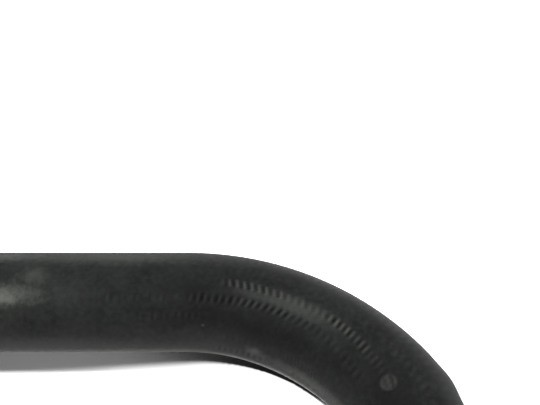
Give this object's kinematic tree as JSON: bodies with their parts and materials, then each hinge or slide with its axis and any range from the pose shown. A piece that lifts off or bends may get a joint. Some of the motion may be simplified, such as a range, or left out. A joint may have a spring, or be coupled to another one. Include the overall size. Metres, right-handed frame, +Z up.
{
  "type": "charge air hose",
  "caption": "Moulded black rubber charge air hose, round in section, with a long straight leg, a smooth compound bend and square-cut open ends.",
  "frame": {"origin": "centre of the hose's footprint on the surface that it lies on", "axes": "+X along the straight inlet leg, away from its open end; +Z up from the surface; the bend turns towards -Y"},
  "size_m": [0.3586, 0.2108, 0.063],
  "materials": {
    "black_rubber": "matt, with a faint knitted imprint"
  },
  "bodies": {
    "root": {"hose": "black_rubber"}
  },
  "joints": []
}
